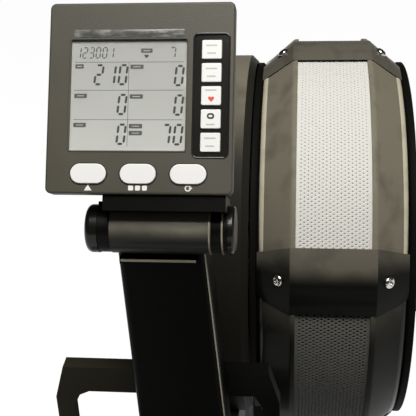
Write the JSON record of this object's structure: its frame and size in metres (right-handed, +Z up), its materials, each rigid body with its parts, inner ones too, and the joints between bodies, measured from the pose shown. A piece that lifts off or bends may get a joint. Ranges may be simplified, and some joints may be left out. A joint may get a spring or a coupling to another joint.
{
  "type": "rowing machine",
  "caption": "Free-standing air rowing machine: mesh-banded fan drum, tilting console on a mast, strap-driven handle, footplates and a seat rolling on a long rail.",
  "frame": {"origin": "middle of the machine on the floor, under the centre of its length and width", "axes": "+X to the rower's back along the rail, +Y to the rower's right, +Z up"},
  "size_m": [2.4062, 0.6, 1.0001],
  "materials": {
    "frame_paint": "satin black paint",
    "tube_paint": "satin black paint",
    "black_rubber": "matte rubber",
    "grip_foam": "fine foam",
    "bright_steel": "bright zinc",
    "housing_plastic": "moulded, fine grain",
    "black_plastic": "moulded, fine grain",
    "tube_plastic": "satin moulded",
    "mesh_metal": "perforated sheet, light grey",
    "fan_alloy": "dull",
    "rail_alloy": "satin anodised",
    "webbing": "woven webbing",
    "handle_steel": "gloss black",
    "seat_vinyl": "grained vinyl",
    "roller_plastic": "nylon",
    "console_plastic": "fine textured olive grey",
    "screen_face": "pale grey-green liquid crystal",
    "screen_lens": "clear",
    "key_panel_gloss": "glossy film",
    "key_white": "off-white moulded"
  },
  "bodies": {
    "frame": {"main_beam": "frame_paint", "front_foot": "frame_paint", "foot_caps": "black_rubber", "rear_leg": "frame_paint", "fork_plates": "frame_paint", "shaft_bearings": "bright_steel", "frame_bolts": "bright_steel", "drive_cover": "housing_plastic", "fan_shell_left": "housing_plastic", "fan_shell_right": "housing_plastic", "mesh_band": "mesh_metal", "cross_clips": "housing_plastic", "clip_bolts": "bright_steel", "mast": "frame_paint", "pivot_tube": "tube_paint", "pivot_pin": "tube_plastic", "handle_rest": "frame_paint", "strap_guide": "black_plastic", "rail": "rail_alloy", "rail_strips": "bright_steel", "rail_stops": "black_rubber", "foot_crossbar": "frame_paint", "footplate_left": "black_plastic", "footplate_right": "black_plastic", "foot_strap_left": "webbing", "foot_strap_right": "webbing", "strap_buckles": "black_plastic"},
    "transport_wheel_left": {"wheel_left": "black_rubber"},
    "transport_wheel_right": {"wheel_right": "black_rubber"},
    "fan": {"fan_rotor": "fan_alloy", "fan_shaft": "bright_steel"},
    "damper": {"damper_ring": "housing_plastic"},
    "spool": {"strap_spool": "black_plastic"},
    "guide": {"guide_roller": "black_plastic"},
    "handle": {"handle_bar": "handle_steel", "handle_grips": "grip_foam", "handle_clip": "handle_steel", "pull_strap": "webbing"},
    "seat": {"seat_cushion": "seat_vinyl", "seat_pan": "black_plastic", "seat_carriage": "frame_paint"},
    "rollers_front": {"front_rollers": "roller_plastic"},
    "rollers_rear": {"rear_rollers": "roller_plastic"},
    "heel_left": {"heel_cup_left": "black_plastic"},
    "heel_right": {"heel_cup_right": "black_plastic"},
    "console": {"console_yoke": "tube_plastic", "console_front": "console_plastic", "console_back": "console_plastic", "lcd_panel": "screen_face", "lcd_window": "screen_lens", "key_panel": "key_panel_gloss"},
    "button_left_body": {"button_left": "key_white"},
    "button_middle_body": {"button_middle": "key_white"},
    "button_right_body": {"button_right": "key_white"},
    "key_1_body": {"key_1": "key_white"},
    "key_2_body": {"key_2": "key_white"},
    "key_3_body": {"key_3": "key_white"},
    "key_4_body": {"key_4": "key_white"},
    "key_5_body": {"key_5": "key_white"}
  },
  "joints": [
    {"name": "wheel_left_spin", "type": "hinge", "parent": "frame", "child": "transport_wheel_left", "pos_m": [-1.0811, -0.234, 0.038], "axis": [0, 1, 0], "continuous": true},
    {"name": "wheel_right_spin", "type": "hinge", "parent": "frame", "child": "transport_wheel_right", "pos_m": [-1.0811, 0.234, 0.038], "axis": [0, 1, 0], "continuous": true},
    {"name": "fan_spin", "type": "hinge", "parent": "frame", "child": "fan", "pos_m": [-0.9351, 0.143, 0.575], "axis": [0, 1, 0], "continuous": true},
    {"name": "damper_turn", "type": "hinge", "parent": "frame", "child": "damper", "pos_m": [-0.9351, 0.143, 0.575], "axis": [0, 1, 0], "range_deg": [0, 15]},
    {"name": "handle_pull", "type": "slide", "parent": "frame", "child": "handle", "axis": [1, 0, 0], "range_m": [0, 1.2], "stiffness_N_per_m": 20, "deforming": ["pull_strap"]},
    {"name": "spool_turn", "type": "hinge", "parent": "frame", "child": "spool", "pos_m": [-0.9351, 0, 0.575], "axis": [0, 1, 0], "continuous": true},
    {"name": "guide_turn", "type": "hinge", "parent": "frame", "child": "guide", "pos_m": [-0.5191, 0, 0.5361], "axis": [0, 1, 0], "continuous": true},
    {"name": "seat_slide", "type": "slide", "parent": "frame", "child": "seat", "axis": [1, 0, 0], "range_m": [0, 1]},
    {"name": "front_roller_turn", "type": "hinge", "parent": "seat", "child": "rollers_front", "pos_m": [-0.1751, 0, 0.4348], "axis": [0, 1, 0], "continuous": true},
    {"name": "rear_roller_turn", "type": "hinge", "parent": "seat", "child": "rollers_rear", "pos_m": [-0.0151, 0, 0.4348], "axis": [0, 1, 0], "continuous": true},
    {"name": "heel_left_slide", "type": "slide", "parent": "frame", "child": "heel_left", "axis": [-0.7193, 0, 0.6947], "range_m": [0, 0.06]},
    {"name": "heel_right_slide", "type": "slide", "parent": "frame", "child": "heel_right", "axis": [-0.7193, 0, 0.6947], "range_m": [0, 0.06]},
    {"name": "console_tilt", "type": "hinge", "parent": "frame", "child": "console", "pos_m": [-0.5051, -0.0165, 0.8206], "axis": [0, 1, 0], "range_deg": [-25, 20]},
    {"name": "button_left_press", "type": "slide", "parent": "console", "child": "button_left_body", "axis": [-0.8462, 0, -0.5329], "range_m": [0, 0.0012], "stiffness_N_per_m": 800},
    {"name": "button_middle_press", "type": "slide", "parent": "console", "child": "button_middle_body", "axis": [-0.8462, 0, -0.5329], "range_m": [0, 0.0012], "stiffness_N_per_m": 800},
    {"name": "button_right_press", "type": "slide", "parent": "console", "child": "button_right_body", "axis": [-0.8462, 0, -0.5329], "range_m": [0, 0.0012], "stiffness_N_per_m": 800},
    {"name": "key_1_press", "type": "slide", "parent": "console", "child": "key_1_body", "axis": [-0.8462, 0, -0.5329], "range_m": [0, 0.001], "stiffness_N_per_m": 800},
    {"name": "key_2_press", "type": "slide", "parent": "console", "child": "key_2_body", "axis": [-0.8462, 0, -0.5329], "range_m": [0, 0.001], "stiffness_N_per_m": 800},
    {"name": "key_3_press", "type": "slide", "parent": "console", "child": "key_3_body", "axis": [-0.8462, 0, -0.5329], "range_m": [0, 0.001], "stiffness_N_per_m": 800},
    {"name": "key_4_press", "type": "slide", "parent": "console", "child": "key_4_body", "axis": [-0.8462, 0, -0.5329], "range_m": [0, 0.001], "stiffness_N_per_m": 800},
    {"name": "key_5_press", "type": "slide", "parent": "console", "child": "key_5_body", "axis": [-0.8462, 0, -0.5329], "range_m": [0, 0.001], "stiffness_N_per_m": 800}
  ],
  "couplings": [
    {"joint": "spool_turn", "follows": "handle_pull", "rad_per_m": -32.468},
    {"joint": "guide_turn", "follows": "handle_pull", "rad_per_m": 142.86},
    {"joint": "front_roller_turn", "follows": "seat_slide", "rad_per_m": 55.556},
    {"joint": "rear_roller_turn", "follows": "seat_slide", "rad_per_m": 55.556}
  ]
}
